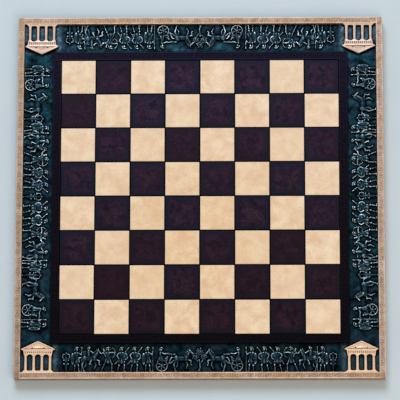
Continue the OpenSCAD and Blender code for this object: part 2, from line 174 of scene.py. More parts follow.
def drawn(name, corners, step):
    """A solid from a drawn outline, pulled straight by a step"""
    put_down()
    bpy.ops.mesh.primitive_circle_add(vertices=len(corners), radius=1, fill_type="NGON")
    piece = named(bpy.context.object, name)
    for spot, corner in zip(piece.data.vertices, corners):
        spot.co = mm(*corner)
    open_up(piece)
    draw_up(*step)
    face_out()
    put_down()
    return piece


def plate(name, outline, bottom, top):
    """A plate with its outline in the flat"""
    return drawn(name, [(x, y, bottom) for x, y in outline], (0, 0, top - bottom))


def bevel(piece, width, segments, passes):
    """Rounds the edges that pass"""
    open_up(piece)
    choose(piece, "EDGE", passes)
    bpy.ops.mesh.bevel(offset=width * MM, segments=segments, affect="EDGES")
    put_down()


def round_top(piece, top, width=0.2, segments=2):
    """Rounds the edges round the top of a piece"""
    bevel(piece, width, segments, lambda at, way: at.z > top - 0.01)
    return piece


def cut(piece, at, away):
    """Cuts a piece at a plane, takes off what lies beyond it and closes the cut"""
    open_up(piece)
    bpy.ops.mesh.bisect(plane_co=mm(*at), plane_no=away, clear_outer=True, use_fill=True)
    put_down()


def mitre(piece):
    """Cuts a ring or a strip down to its front side, with mitred ends"""
    for across in (1, -1):
        cut(piece, (0, 0, 0), (across, 1, 0))


def shape_with(piece, kind, **settings):
    """Adds a modifier and applies it"""
    pick_up(piece)
    tool = piece.modifiers.new("tool", kind)
    for key, value in settings.items():
        setattr(tool, key, value)
    bpy.ops.object.modifier_apply(modifier=tool.name)
    return piece


def smooth(piece, degrees=40):
    """Shades a piece smooth, but for edges sharper than an angle"""
    pick_up(piece)
    bpy.ops.object.shade_smooth_by_angle(angle=radians(degrees))
    return piece


def linked(thing):
    """A new object, put into the scene"""
    bpy.context.collection.objects.link(thing)
    return thing


def another(piece, name, place=Matrix()):
    """A copy with its own mesh, put in its place"""
    copy = linked(piece.copy())
    copy.data = piece.data.copy()
    copy.data.transform(place)
    if place.determinant() < 0:
        copy.data.flip_normals()
    return named(copy, name)


def join(name, pieces):
    """Makes several pieces one, under a new name"""
    put_down()
    for piece in pieces:
        piece.select_set(True)
    bpy.context.view_layer.objects.active = pieces[0]
    if len(pieces) > 1:
        bpy.ops.object.join()
    return named(pieces[0], name)


def discard(*pieces):
    for piece in pieces:
        bpy.data.objects.remove(piece)


def turn(quarters):
    """0 is the front side, 1 the right, 2 the back and 3 the left"""
    return Matrix.Rotation(quarters * pi / 2, 4, "Z")


def move(x, y, z=0):
    return Matrix.Translation(mm(x, y, z))


def dress(piece, finish, slot, *nodes):
    """Gives a piece its finish, and lets it ride in place of its solids"""
    piece.data.materials.clear()
    piece.data.materials.append(finish)
    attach(piece, "root")
    if nodes:
        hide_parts(*nodes)
    return piece


# Finishes


def tint(red, green, blue):
    """A colour from its 0 to 255 values"""
    def linear(value):
        value /= 255
        return value / 12.92 if value <= 0.04045 else ((value + 0.055) / 1.055) ** 2.4
    return (linear(red), linear(green), linear(blue), 1)


def shader_of(finish):
    return finish.node_tree.nodes["Principled BSDF"]


def new_finish(name, roughness, metallic=0.0, specular=0.5):
    finish = bpy.data.materials.new(name)
    finish.use_nodes = True
    for key, value in (("Roughness", roughness), ("Metallic", metallic), ("Specular IOR Level", specular)):
        shader_of(finish).inputs[key].default_value = value
    return finish


def put(finish, kind, settings=None, **sockets):
    """Adds a node; a socket gets a value or another node's output, and s0, s1 go by number"""
    node = finish.node_tree.nodes.new("ShaderNode" + kind)
    for key, value in (settings or {}).items():
        setattr(node, key, value)
    for key, value in sockets.items():
        numbered = key[0] == "s" and key[1:].isdigit()
        socket = node.inputs[int(key[1:])] if numbered else node.inputs[key.replace("_", " ")]
        if isinstance(value, bpy.types.NodeSocket):
            finish.node_tree.links.new(value, socket)
        else:
            socket.default_value = value
    return node


def place_of(finish):
    """Object coordinates of the piece, in metres"""
    return put(finish, "TexCoord").outputs["Object"]


def axes_of(finish):
    """The same place as three numbers"""
    return put(finish, "SeparateXYZ", s0=place_of(finish)).outputs


def mark_of(finish, name):
    """A value marked on the points of the piece's mesh"""
    return put(finish, "Attribute", {"attribute_name": name}).outputs["Fac"]


def grain(finish, size, detail=3, rough=0.55, warp=0.0):
    """Noise whose blotches are about size millimetres across"""
    node = put(finish, "TexNoise", Vector=place_of(finish), Scale=PER_METRE / size, Detail=detail,
               Roughness=rough, Distortion=warp)
    return node.outputs["Fac"]


def sums(finish, operation, first, second=0.0):
    """A step of arithmetic on one or two values"""
    return put(finish, "Math", {"operation": operation}, s0=first, s1=second).outputs[0]


def span(finish, value, low, high, to_low=0.0, to_high=1.0):
    """Stretches a value from one range to another, kept inside it"""
    node = put(finish, "MapRange", {"clamp": True}, s0=value, s1=low, s2=high, s3=to_low, s4=to_high)
    return node.outputs[0]


def blend(finish, share, first, second, mode="MIX"):
    """Two colours mixed by a share of the second"""
    node = put(finish, "Mix", {"data_type": "RGBA", "blend_type": mode}, s0=share, s6=first, s7=second)
    return node.outputs[2]


def coat(finish, colour, over, value, low, high, to_low=0.0, to_high=1.0):
    """A colour covered by a tint, as far as a value has gone through a range"""
    return blend(finish, span(finish, value, low, high, to_low, to_high), colour, tint(*over))


def drift(finish, colour, place, low, high, near, far):
    """A colour multiplied by one tint at one end of a range and by another at its other end"""
    tone = blend(finish, span(finish, place, low, high), (*near, 1), (*far, 1))
    return blend(finish, 1.0, colour, tone, "MULTIPLY")


def bump(finish, height, depth, under=None):
    """A bump of a depth in millimetres, over another one"""
    node = put(finish, "Bump", Height=height, Strength=1.0, Distance=depth * MM)
    if under:
        finish.node_tree.links.new(under, node.inputs["Normal"])
    return node.outputs["Normal"]


def wire(finish, **sockets):
    """Joins outputs to the shader's own sockets"""
    for key, value in sockets.items():
        finish.node_tree.links.new(value, shader_of(finish).inputs[key.replace("_", " ")])
    return finish


def height_of(finish):
    """Height above the table, in millimetres"""
    return sums(finish, "MULTIPLY", axes_of(finish)[2], PER_METRE)


def square_share(finish):
    """Distance from the middle of a square, 0 in the middle and 1 at its edge, and its own number"""
    reach, cells = [], []
    for axis in axes_of(finish)[:2]:
        files = sums(finish, "MULTIPLY", axis, PER_METRE / PITCH)
        inside = sums(finish, "SUBTRACT", sums(finish, "FRACT", files), 0.5)
        reach.append(sums(finish, "MULTIPLY", sums(finish, "ABSOLUTE", inside), 2.0))
        cells.append(sums(finish, "FLOOR", files))
    edge = put(finish, "Math", {"operation": "SMOOTH_MAX"}, s0=reach[0], s1=reach[1], s2=0.3).outputs[0]
    cell = put(finish, "CombineXYZ", s0=cells[0], s1=cells[1])
    lot = put(finish, "TexWhiteNoise", {"noise_dimensions": "3D"}, Vector=cell.outputs[0])
    return edge, lot.outputs["Value"]


def pebbled(finish, depth, size):
    """The fine pebbles of leather over wider swells of a size"""
    pebble = put(finish, "TexVoronoi", {"feature": "F1"}, Vector=place_of(finish), Scale=1300.0)
    normal = bump(finish, pebble.outputs["Distance"], depth)
    return bump(finish, grain(finish, size, 3), 0.12, normal)


def light_leather():
    """Cream leather, darker and browner towards the front middle of the board, with a painted highlight
    round the top of each square and painted shade down its sides
    """
    finish = new_finish("light_leather", 0.6, specular=0.2)
    edge, lot = square_share(finish)
    cloud = grain(finish, 15, 4, 0.6, 0.4)
    speck = grain(finish, 2.2, 3, 0.6)
    colour = coat(finish, tint(218, 186, 155), (233, 213, 187), cloud, 0.36, 0.64)
    colour = coat(finish, colour, (200, 161, 126), speck, 0.5, 0.78, 0, 0.5)
    colour = coat(finish, colour, (222, 195, 164), lot, 0, 1, 0, 0.35)
    # Painted highlight round the top edge of each square
    colour = coat(finish, colour, (233, 217, 198), edge, 0.93, 0.985, 0, 0.5)
    # Darker and browner towards the front middle of the board
    near_front_middle = put(finish, "VectorMath", {"operation": "DISTANCE"}, s0=place_of(finish), s1=(0, -0.05, 0.016))
    near_front_middle = span(finish, near_front_middle.outputs["Value"], 0.04, 0.19, 1, 0)
    colour = blend(finish, near_front_middle, colour, (0.97, 0.9, 0.8, 1), "MULTIPLY")
    top = SQUARE_Z + SQUARE_T
    # Painted shade down the sides of a square
    colour = coat(finish, colour, (26, 17, 14), height_of(finish), top - 0.8, top - 0.25, 1, 0)
    return wire(finish, Base_Color=colour, Normal=pebbled(finish, 0.05, 5))


def dark_leather():
    """Plum brown leather, cooler towards the edges of a square, with painted shade towards the front of the
    board and a painted bluish reflection towards its back
    """
    finish = new_finish("dark_leather", 0.55, specular=0.06)
    edge, lot = square_share(finish)
    cloud = grain(finish, 9, 5, 0.65, 0.6)
    speck = grain(finish, 1.8, 3, 0.7)
    colour = coat(finish, tint(25, 13, 28), (59, 34, 49), cloud, 0.38, 0.62)
    colour = coat(finish, colour, (14, 8, 18), speck, 0.45, 0.7, 0, 0.85)
    rubbed = sums(finish, "ADD", edge, span(finish, cloud, 0.3, 0.7, -0.12, 0.12))
    colour = coat(finish, colour, (18, 22, 36), rubbed, 0.62, 0.93)
    colour = coat(finish, colour, (36, 14, 21), lot, 0, 1, 0, 0.6)
    # Painted shade towards the front and a painted bluish reflection towards the back
    colour = drift(finish, colour, axes_of(finish)[1], -0.15, 0.15, (0.68, 0.62, 0.66), (1.02, 1.32, 1.6))
    return wire(finish, Base_Color=colour, Normal=pebbled(finish, 0.06, 4))


def moulding_black():
    """Black paint, a little paler on its high places, with painted shade in the beads' pits and towards the
    front and a painted bluish reflection towards the back
    """
    finish = new_finish("moulding_black", 0.45, specular=0.04)
    high = height_of(finish)
    worn = grain(finish, 3, 4, 0.6)
    colour = coat(finish, tint(5, 4, 9), (21, 15, 26), worn, 0.3, 0.7)
    colour = coat(finish, colour, (27, 21, 31), high, TOP_Z - 0.75, TOP_Z - 0.05, 0, 0.7)
    # Painted shade in the beads' pits
    colour = blend(finish, mark_of(finish, "painted_shade"), colour, tint(7, 1, 10))
    # Painted shade towards the front and a painted bluish reflection towards the back
    y = axes_of(finish)[1]
    tone = blend(finish, span(finish, y, -0.17, 0.05), (0.55, 0.5, 0.52, 1), (0.95, 0.85, 1, 1))
    tone = blend(finish, span(finish, y, 0.05, 0.172), tone, (1.42, 1.75, 2.35, 1))
    colour = blend(finish, 1.0, colour, tone, "MULTIPLY")
    return wire(finish, Base_Color=colour, Normal=bump(finish, grain(finish, 1.2, 3), 0.05))


def relief_patina():
    """Dark blue green metal, black in its creases with patina and painted shade, with painted shade round
    what stands on it, in the moulding's shadow and towards the front, and rubbed bright on its ridges with a
    painted highlight
    """
    finish = new_finish("relief_patina", 0.36, 0.7, 0.06)
    high = height_of(finish)
    painted_shade, ridge = mark_of(finish, "painted_shade"), mark_of(finish, "ridge")
    cloud = grain(finish, 13, 4, 0.6, 0.6)
    fleck = grain(finish, 2.4, 4, 0.65)
    hue = coat(finish, tint(36, 58, 77), (24, 66, 77), grain(finish, 22, 2), 0.4, 0.6)
    colour = blend(finish, span(finish, cloud, 0.34, 0.66), tint(4, 12, 19), hue)
    colour = coat(finish, colour, (24, 46, 54), high, GROUND_Z + 0.9, GROUND_Z + 2.6, 0, 0.7)
    patch = span(finish, fleck, 0.36, 0.58, 0.1, 1)
    # Rubbed metal on the ridges, with a painted highlight on faces turned up
    for low, full, tone in ((0.1, 0.6, (132, 162, 180)), (0.35, 0.8, (216, 227, 234))):
        worn = sums(finish, "MULTIPLY", span(finish, ridge, low, full), patch)
        colour = blend(finish, worn, colour, tint(*tone))
    # Painted shade: black on steep flanks, round figures and temples and in the moulding's shadow; in
    # creases also dark patina
    colour = coat(finish, colour, (1, 4, 7), painted_shade, 0.02, 0.7, 0, 0.96)
    rough = span(finish, fleck, 0.3, 0.7, 0.46, 0.3)
    normal = bump(finish, fleck, 0.16)
    # Painted shade towards the front of the board
    colour = drift(finish, colour, axes_of(finish)[1], -0.2, -0.13, (0.7, 0.72, 0.73), (1, 1, 1))
    return wire(finish, Base_Color=colour, Roughness=rough, Normal=normal)


def cast_metal(name, low, high, worn, shade):
    """Pale cast metal with brown flecks, paler where it reaches the top"""
    finish = new_finish(name, 0.4, 0.35)
    cloud = grain(finish, 7, 4, 0.6, 0.3)
    fleck = grain(finish, 1.6, 3, 0.6)
    colour = coat(finish, tint(*low), high, cloud, 0.35, 0.65)
    colour = coat(finish, colour, shade, fleck, 0.5, 0.75, 0, 0.5)
    top = height_of(finish)
    colour = coat(finish, colour, worn, top, TOP_Z - 0.25, TOP_Z - 0.05)
    return finish, colour, fleck, top


def rail_bronze():
    """The rim's metal; the back rail is a little darker, the left one darker and the right one paler and
    bluer
    """
    finish, colour, fleck, top = cast_metal(
        "rail_bronze", (140, 110, 88), (208, 179, 156), (230, 204, 180), (94, 64, 46))
    colour = coat(finish, colour, (178, 132, 90), grain(finish, 24, 4, 0.65, 0.5), 0.42, 0.6, 0, 0.5)
    colour = coat(finish, colour, (124, 92, 68), top, TOP_Z - 0.38, TOP_Z - 0.22, 0.45, 0)
    x, y, _ = axes_of(finish)
    # The back rail a little darker, the left one darker and the right one paler and bluer
    ends = blend(finish, span(finish, y, -0.01, 0.01), (1, 1, 1, 1), (0.93, 0.9, 0.86, 1))
    sides = blend(finish, span(finish, x, -0.01, 0.01), (0.9, 0.92, 0.93, 1), (1.09, 1.14, 1.27, 1))
    out = sums(finish, "MULTIPLY", sums(finish, "ABSOLUTE", x), PER_METRE)
    own = blend(finish, span(finish, out, RIM_IN - 0.05, RIM_IN + 0.05), ends, sides)
    colour = blend(finish, 1.0, colour, own, "MULTIPLY")
    return wire(finish, Base_Color=colour, Normal=bump(finish, fleck, 0.05))


def temple_bronze():
    """The temples' paler metal, with painted cool shade towards the back and painted brown shade at its foot
    """
    finish, colour, fleck, top = cast_metal(
        "temple_bronze", (219, 184, 154), (235, 202, 172), (240, 214, 188), (186, 148, 118))
    # Painted cool shade towards the back
    back = span(finish, axes_of(finish)[1], -0.16, 0.16)
    colour = blend(finish, back, colour, (0.79, 0.82, 0.95, 1), "MULTIPLY")
    # Painted brown shade at the foot
    colour = coat(finish, colour, (64, 42, 34), top, GROUND_Z + 2.1, GROUND_Z + 3.1, 0.96, 0)
    return wire(finish, Base_Color=colour, Normal=bump(finish, fleck, 0.04))


def felt_cloth():
    finish = new_finish("felt_cloth", 0.95, specular=0.1)
    shader_of(finish).inputs["Sheen Weight"].default_value = 0.5
    fibre = grain(finish, 0.6, 5, 0.7, 1.5)
    colour = blend(finish, fibre, tint(18, 18, 21), tint(46, 46, 50))
    return wire(finish, Base_Color=colour, Normal=bump(finish, fibre, 0.2))


def panel_wood():
    finish = new_finish("panel_wood", 0.6, specular=0.3)
    along = put(finish, "Mapping", Vector=place_of(finish), Scale=(1, 14, 14))
    fibre = put(finish, "TexNoise", Vector=along.outputs[0], Scale=22.0, Detail=5.0, Distortion=0.6)
    colour = blend(finish, fibre.outputs["Fac"], tint(84, 56, 38), tint(138, 98, 68))
    return wire(finish, Base_Color=colour, Normal=bump(finish, fibre.outputs["Fac"], 0.1))


def black_board():
    finish = new_finish("black_board", 0.6, specular=0.03)
    colour = blend(finish, grain(finish, 2), tint(1, 1, 2), tint(5, 4, 6))
    return wire(finish, Base_Color=colour, Normal=bump(finish, grain(finish, 0.8), 0.05))


def screw_steel():
    finish = new_finish("screw_steel", 0.35, 1.0)
    scratch = grain(finish, 0.7, 3)
    colour = blend(finish, scratch, tint(132, 134, 138), tint(176, 178, 182))
    return wire(finish, Base_Color=colour, Normal=bump(finish, scratch, 0.02))


# Leather squares


def leather_square():
    """One square round the middle of the board: a pad with soft edges and a slight crown"""
    half = (PITCH - GAP) / 2
    rim = SQUARE_Z + SQUARE_T - 0.12
    square = block("square", (-half, -half, SQUARE_Z), (half, half, rim))
    bevel(square, 0.38, 3, lambda at, way: at.z > SQUARE_Z + 0.1)
    open_up(square)
    choose(square, "FACE", lambda at, way: way.z > 0.9 and max(abs(at.x), abs(at.y)) < 1)
    step_in((1.4, 0.06), (3, 0.04), (5, 0.02))
    put_down()
    return smooth(square, 50)


def lay_squares():
    """Eight ranks of four light and four dark squares; the front left square is dark"""
    finishes = (("light", light_leather()), ("dark", dark_leather()))
    square = leather_square()
    for rank in range(1, 9):
        for odd, (colour, finish) in enumerate(finishes):
            y = (rank - 0.5) * PITCH - FIELD_HALF
            laid = [another(square, "square", move((file + 0.5) * PITCH - FIELD_HALF, y))
                    for file in range((rank + odd) % 2, 8, 2)]
            row = join(f"{colour}_leather_rank_{rank}", laid)
            dress(row, finish, f"{colour}_leather", f"{colour}_squares_rank_{rank}")
    discard(square)


# Black moulding with its row of beads


def bead():
    """A cast ring with a dimple, standing in the moulding's channel"""
    put_down()
    foot, thick = TOP_Z - CHANNEL_D - 0.3, 0.4
    bpy.ops.mesh.primitive_cylinder_add(
        vertices=20, radius=BEAD_R * MM, depth=thick * MM, location=mm(0, 0, foot + thick / 2))
    ring = made("bead")
    open_up(ring)
    choose(ring, "FACE", lambda at, way: way.z > 0.9)
    step_in((0.4, 0.3), (0.45, 0.22), (0.4, 0.06), (0.3, -0.35), (0.35, -0.15))
    smooth(ring, 60)
    # The pit of each bead is marked for painted shade
    pit = ring.data.attributes.new("painted_shade", "FLOAT", "POINT")
    for spot, value in zip(ring.data.vertices, pit.data):
        value.value = spot.co.xy.length < BEAD_R * PIT_SHARE * MM
    return ring


def moulding_side():
    """The front length of the moulding, rebated over the relief's tongue and mitred"""
    put_down()
    bpy.ops.mesh.primitive_plane_add(size=2 * BORDER_OUT * MM, location=mm(0, 0, GROUND_Z))
    ring = made("moulding")
    open_up(ring)
    width = BORDER_OUT - BORDER_IN
    step_in((FILLET_W, 0), (TONGUE_W - FILLET_W, 0), (width - TONGUE_W - FILLET_W, 0), (FILLET_W, 0))
    bpy.ops.mesh.delete(type="FACE")
    bpy.ops.mesh.select_all(action="SELECT")
    draw_up(0, 0, TOP_Z - GROUND_Z)
    face_out()

    def out(at):
        return max(abs(at.x), abs(at.y))
    choose(ring, "FACE", lambda at, way: way.z > 0.9
           and BORDER_IN + FILLET_W < out(at) < BORDER_OUT - FILLET_W)
    step_in((0.2, -CHANNEL_D))
    choose(ring, "FACE", lambda at, way: way.z < -0.9 and out(at) < BORDER_OUT - TONGUE_W)
    draw_up(0, 0, DECK_Z - GROUND_Z)
    bevel(ring, 0.3, 2, lambda at, way: at.z > TOP_Z - 0.01 and max(abs(way.x), abs(way.y)) > 0.9)
    mitre(ring)
    one = bead()
    middle = -(BORDER_IN + BORDER_OUT) / 2
    beads = floor(-middle / BEAD_PITCH) * 2
    row = [another(one, "bead", move((k + 0.5 - beads / 2) * BEAD_PITCH, middle)) for k in range(beads)]
    discard(one)
    smooth(ring, 40)
    return join("moulding", [ring, *row])


def lay_moulding():
    finish = moulding_black()
    side = moulding_side()
    for quarters, name in enumerate(SIDES):
        length = another(side, f"bead_moulding_{name}", turn(quarters))
        dress(length, finish, "moulding_black", f"border_{name}")
    discard(side)


# Rim rails with a low meander


def rail(name, half):
    """A rail's top along the front side: a sunk band between two rounded lines"""
    line = [(0, TOP_Z - 0.35), (0.12, TOP_Z - 0.1), (0.32, TOP_Z), (LINE_W - 0.3, TOP_Z),
            (LINE_W - 0.12, TOP_Z - 0.1), (LINE_W, TOP_Z - BAND_D)]
    profile = [(RIM_IN, DECK_Z), (WALL_IN, DECK_Z), (WALL_IN, PANEL_Z), (RIM_OUT, PANEL_Z),
               *[(RIM_OUT - y, z) for y, z in line], *[(RIM_IN + y, z) for y, z in line[::-1]]]
    return drawn(name, [(-half, -y, z) for y, z in profile], (2 * half, 0, 0))


def meander_key(pitch):
    """One turn of the meander, drawn as a bar along its path"""
    bar, tall = 0.75, 4.35
    path = [(pitch - bar / 2, 0), (0, 0), (0, tall), (6.4, tall), (6.4, 1.45), (3.1, 1.45), (3.1, 2.95)]
    left, right = [], []
    for k, (x, y) in enumerate(path):
        before = path[max(k - 1, 0)]
        after = path[min(k + 1, len(path) - 1)]
        into = Vector((x - before[0], y - before[1])).normalized()
        out = Vector((after[0] - x, after[1] - y)).normalized()
        into = into if k else out
        out = out if k < len(path) - 1 else into
        corner = Vector((-into.y, into.x))
        if into.dot(out) < 0.5:
            corner += Vector((-out.y, out.x))
        left.append((x + corner.x * bar / 2, y + corner.y * bar / 2))
        right.append((x - corner.x * bar / 2, y - corner.y * bar / 2))
    middle = -(RIM_IN + RIM_OUT) / 2 - tall / 2
    outline = [(x, middle + y) for x, y in left + right[::-1]]
    band = TOP_Z - BAND_D
    return plate("key", outline, band - 0.1, band + 0.2)


def meander():
    """The row of keys along the front rail"""
    keys = 47
    pitch = 2 * RIM_IN / keys
    key = meander_key(pitch)
    row = [another(key, "key", move(k * pitch - RIM_IN, 0)) for k in range(keys)]
    discard(key)
    return join("meander", row)


def lay_rim():
    finish = rail_bronze()
    keys = meander()
    long_rail = rail("long", RIM_OUT)
    form = block("form", (-RIM_OUT, -RIM_OUT, 0), (RIM_OUT, RIM_OUT, TOP_Z + 1))
    bevel(form, CORNER_R, 6, lambda at, way: abs(way.z) > 0.9)
    shape_with(long_rail, "BOOLEAN", operation="INTERSECT", solver="EXACT", object=form)
    short_rail = join("short", [
        rail("top", RIM_IN),
        block("left_wall", (-WALL_IN, -RIM_OUT, PANEL_Z), (-RIM_IN, -WALL_IN, DECK_Z)),
        block("right_wall", (RIM_IN, -RIM_OUT, PANEL_Z), (WALL_IN, -WALL_IN, DECK_Z))
    ])
    for kind in (long_rail, short_rail):
        smooth(kind, 35)
    for quarters, name in enumerate(SIDES):
        kind = short_rail if quarters % 2 == 0 else long_rail
        parts = [another(kind, "rail", turn(quarters)), another(keys, "keys", turn(quarters))]
        dress(join(f"rim_{name}", parts), finish, "rail_bronze", f"rim_rail_{name}")
    discard(form, keys, long_rail, short_rail)


# Corner temples


def column():
    """A fluted half column, flattened in front, with its base and capital, standing on the step"""
    put_down()
    flutes, lift, flat = 24, 1.5, 2.3
    bpy.ops.mesh.primitive_cone_add(
        vertices=flutes, radius1=COLUMN_FOOT * MM, radius2=COLUMN_HEAD * MM,
        depth=(BEAM_Y - STEP_H) * MM, rotation=(-pi / 2, 0, 0), location=mm(0, (BEAM_Y + STEP_H) / 2, 0))
    shaft = made("shaft")
    open_up(shaft)
    choose(shaft, "VERT", lambda at, way: round(atan2(at.z, at.x) / radians(360 / flutes)) % 2 == 0)
    bpy.ops.transform.resize(value=(0.9, 1, 0.9), center_override=(0, 0, 0))
    bpy.ops.mesh.select_all(action="SELECT")
    bpy.ops.transform.resize(value=(1, 1, 2.2), center_override=(0, 0, 0))
    choose(shaft, "VERT", lambda at, way: at.z > flat)
    bpy.ops.transform.resize(value=(1, 1, 0.15), center_override=mm(0, 0, flat))
    bpy.ops.mesh.select_all(action="SELECT")
    bpy.ops.transform.translate(value=mm(0, 0, GROUND_Z + lift))
    smooth(shaft, 25)
    parts = [shaft]
    for low, high, half, top in (
            (STEP_H - 0.1, STEP_H + 0.5, 2.15, 4.2), (STEP_H + 0.4, STEP_H + 0.9, 1.9, 4.3),
            (BEAM_Y - 1.2, BEAM_Y - 0.7, 1.5, 4.1), (BEAM_Y - 0.8, BEAM_Y + 0.1, 1.95, 4.3)):
        part = block("band", (-half, low, GROUND_Z - 0.3), (half, high, GROUND_Z + top))
        parts.append(smooth(round_top(part, GROUND_Z + top)))
    return join("column", parts)


def beam():
    """The beam with three low arches cut into its lower edge"""
    gap = (COLUMN_PITCH - 2 * COLUMN_FOOT) / 2
    rise = 1.1
    radius = (gap * gap + rise * rise) / (2 * rise)
    sweep = asin(gap / radius)
    lower = [(-BEAM_HALF, BEAM_Y)]
    for k in (-1, 0, 1):
        for step in range(9):
            angle = sweep * (step / 4 - 1)
            lower.append((k * COLUMN_PITCH + radius * sin(angle),
                          BEAM_Y + rise - radius + radius * cos(angle)))
    lower.append((BEAM_HALF, BEAM_Y))
    outline = lower + [(BEAM_HALF + 0.4, BEAM_Y + 2.4), (-BEAM_HALF - 0.4, BEAM_Y + 2.4)]
    top = TEMPLE_Z - 0.1
    return smooth(round_top(plate("beam", outline, GROUND_Z - 0.3, top), top))


def dentil_row():
    """The sunk band over the beam with its row of teeth"""
    low, high = BEAM_Y + 2.3, EAVE_Y - 2.9
    back = plate("back", [(-16.7, low), (16.7, low), (17.4, high + 0.3), (-17.4, high + 0.3)],
                 GROUND_Z - 0.3, TEMPLE_Z - 2.4)
    top = TEMPLE_Z - 0.15
    tooth = block("tooth", (-0.8, low + 0.1, GROUND_Z + 2), (0.8, high + 0.2, top))
    round_top(tooth, top, 0.12, 1)
    row = [another(tooth, "tooth", move((k + 0.5) * DENTIL_PITCH, 0)) for k in range(-7, 7)]
    top = TEMPLE_Z - 0.1
    strip = plate("strip", [(-17.3, high), (17.3, high), (17.6, high + 1.6), (-17.6, high + 1.6)],
                  GROUND_Z, top)
    round_top(strip, top, 0.15, 1)
    discard(tooth)
    return join("dentils", [back, smooth(strip), *row])


def pediment():
    """The gable with its overhanging eaves; a dark line parts its face from the sill, and a low
    arch stands in it between two notches"""
    outline = [(-19, EAVE_Y - 1), (-17.8, EAVE_Y - 1.5), (17.8, EAVE_Y - 1.5), (19, EAVE_Y - 1),
               (TEMPLE_HALF, EAVE_Y), (0, TEMPLE_H), (-TEMPLE_HALF, EAVE_Y)]
    parts = [plate("gable", outline, GROUND_Z - 0.3, TEMPLE_Z - 2.4)]
    for side in (-1, 1):
        slant = [(side * TEMPLE_HALF, EAVE_Y), (0, TEMPLE_H), (0, TEMPLE_H - 1.7), (side * 16.9, EAVE_Y)]
        slope = plate("eave", slant, GROUND_Z, TEMPLE_Z)
        parts.append(smooth(round_top(slope, TEMPLE_Z)))
    sill = plate("sill", [outline[-1], *outline[:5]], GROUND_Z, TEMPLE_Z)
    parts.append(smooth(round_top(sill, TEMPLE_Z)))
    low = EAVE_Y + 0.75
    face = [(-15.2, low)]
    for middle in (-ARCH_HALF - 0.5, ARCH_HALF + 0.5):
        face += [(middle - 1.2, low), (middle - 0.6, low + 1.2),
                 (middle + 0.6, low + 1.2), (middle + 1.2, low)]
    face += [(15.2, low), (0, low + 7.1)]
    parts.append(plate("face", face, GROUND_Z + 2, TEMPLE_Z - 0.6))
    radius = (ARCH_HALF ** 2 + ARCH_RISE ** 2) / (2 * ARCH_RISE)
    sweep = asin(ARCH_HALF / radius)
    crown = [(radius * sin(sweep * k / 7), low + ARCH_RISE - radius + radius * cos(sweep * k / 7))
             for k in range(-7, 8)]
    top = TEMPLE_Z - 0.25
    parts.append(smooth(round_top(plate("arch", crown, GROUND_Z + 3, top), top, 0.3)))
    return join("pediment", parts)


def temple():
    """A whole temple with its feet on the line of the rim"""
    lower = [(-19.2, 0), (19.2, 0), (18.2, 1), (-18.2, 1)]
    upper = [(-17.9, 0.8), (17.9, 0.8), (17, STEP_H), (-17, STEP_H)]
    steps = [round_top(plate("step", outline, GROUND_Z - 0.3, top), top)
             for outline, top in ((lower, TEMPLE_Z), (upper, TEMPLE_Z - 0.25))]
    post = column()
    posts = [another(post, "column", move((k - 1.5) * COLUMN_PITCH, 0)) for k in range(4)]
    discard(post)
    return join("temple", [*steps, *posts, beam(), dentil_row(), pediment()])


def set_temples():
    finish = temple_bronze()
    one = temple()
    for y, side in ((-1, "front"), (1, "back")):
        for x, hand in ((-1, "left"), (1, "right")):
            place = move(x * TEMPLE_X, y * RIM_IN) @ turn(0 if y < 0 else 2)
            corner = another(one, f"corner_temple_{side}_{hand}", place)
            dress(corner, finish, "temple_bronze", f"temple_{side}_{hand}")
    discard(one)


# Figures of the friezes, in units of one twenty-eighth of a figure's height. A place is
# (across, up from the rim, out from the ground).

UNIT = FIGURE_K * MM
SLIM = 0.88 * UNIT


def limb(start, end, thick_start, thick_end):
    """A tapered limb between two places, with round ends"""
    a, b = Vector(start) * UNIT, Vector(end) * UNIT
    bpy.ops.mesh.primitive_cone_add(
        vertices=10, radius1=thick_start * SLIM, radius2=thick_end * SLIM, depth=(b - a).length,
        location=(a + b) / 2, rotation=(b - a).to_track_quat("Z", "Y").to_euler())
    for spot, thick in ((a, thick_start), (b, thick_end)):
        bpy.ops.mesh.primitive_ico_sphere_add(subdivisions=2, radius=thick * SLIM, location=spot)


def chain(places, thick):
    """Limbs through a list of places, from the first thickness to the last"""
    for k in range(len(places) - 1):
        one = thick[0] + (thick[1] - thick[0]) * k / (len(places) - 1)
        two = thick[0] + (thick[1] - thick[0]) * (k + 1) / (len(places) - 1)
        limb(places[k], places[k + 1], one, two)


def ball(place, reach, lean=0):
    """A round form with its reach across, up and out, leaning by some degrees"""
    bpy.ops.mesh.primitive_uv_sphere_add(
        segments=20, ring_count=12, radius=UNIT, location=Vector(place) * UNIT,
        rotation=(0, 0, radians(lean)), scale=reach)


def hoop(place, radius, thick):
    """A ring that lies flat on the ground"""
    bpy.ops.mesh.primitive_torus_add(
        location=Vector(place) * UNIT, major_radius=radius * UNIT, minor_radius=thick * UNIT,
        major_segments=32, minor_segments=8)


def folds(top, bottom, count, out):
    """Folds of a short skirt, from its belt to its hem; top and bottom are (left, right, height)"""
    for k in range(count):
        share = k / (count - 1)
        limb((top[0] + (top[1] - top[0]) * share, top[2], out),
             (bottom[0] + (bottom[1] - bottom[0]) * share, bottom[2], out + 0.35), 0.34, 0.6)


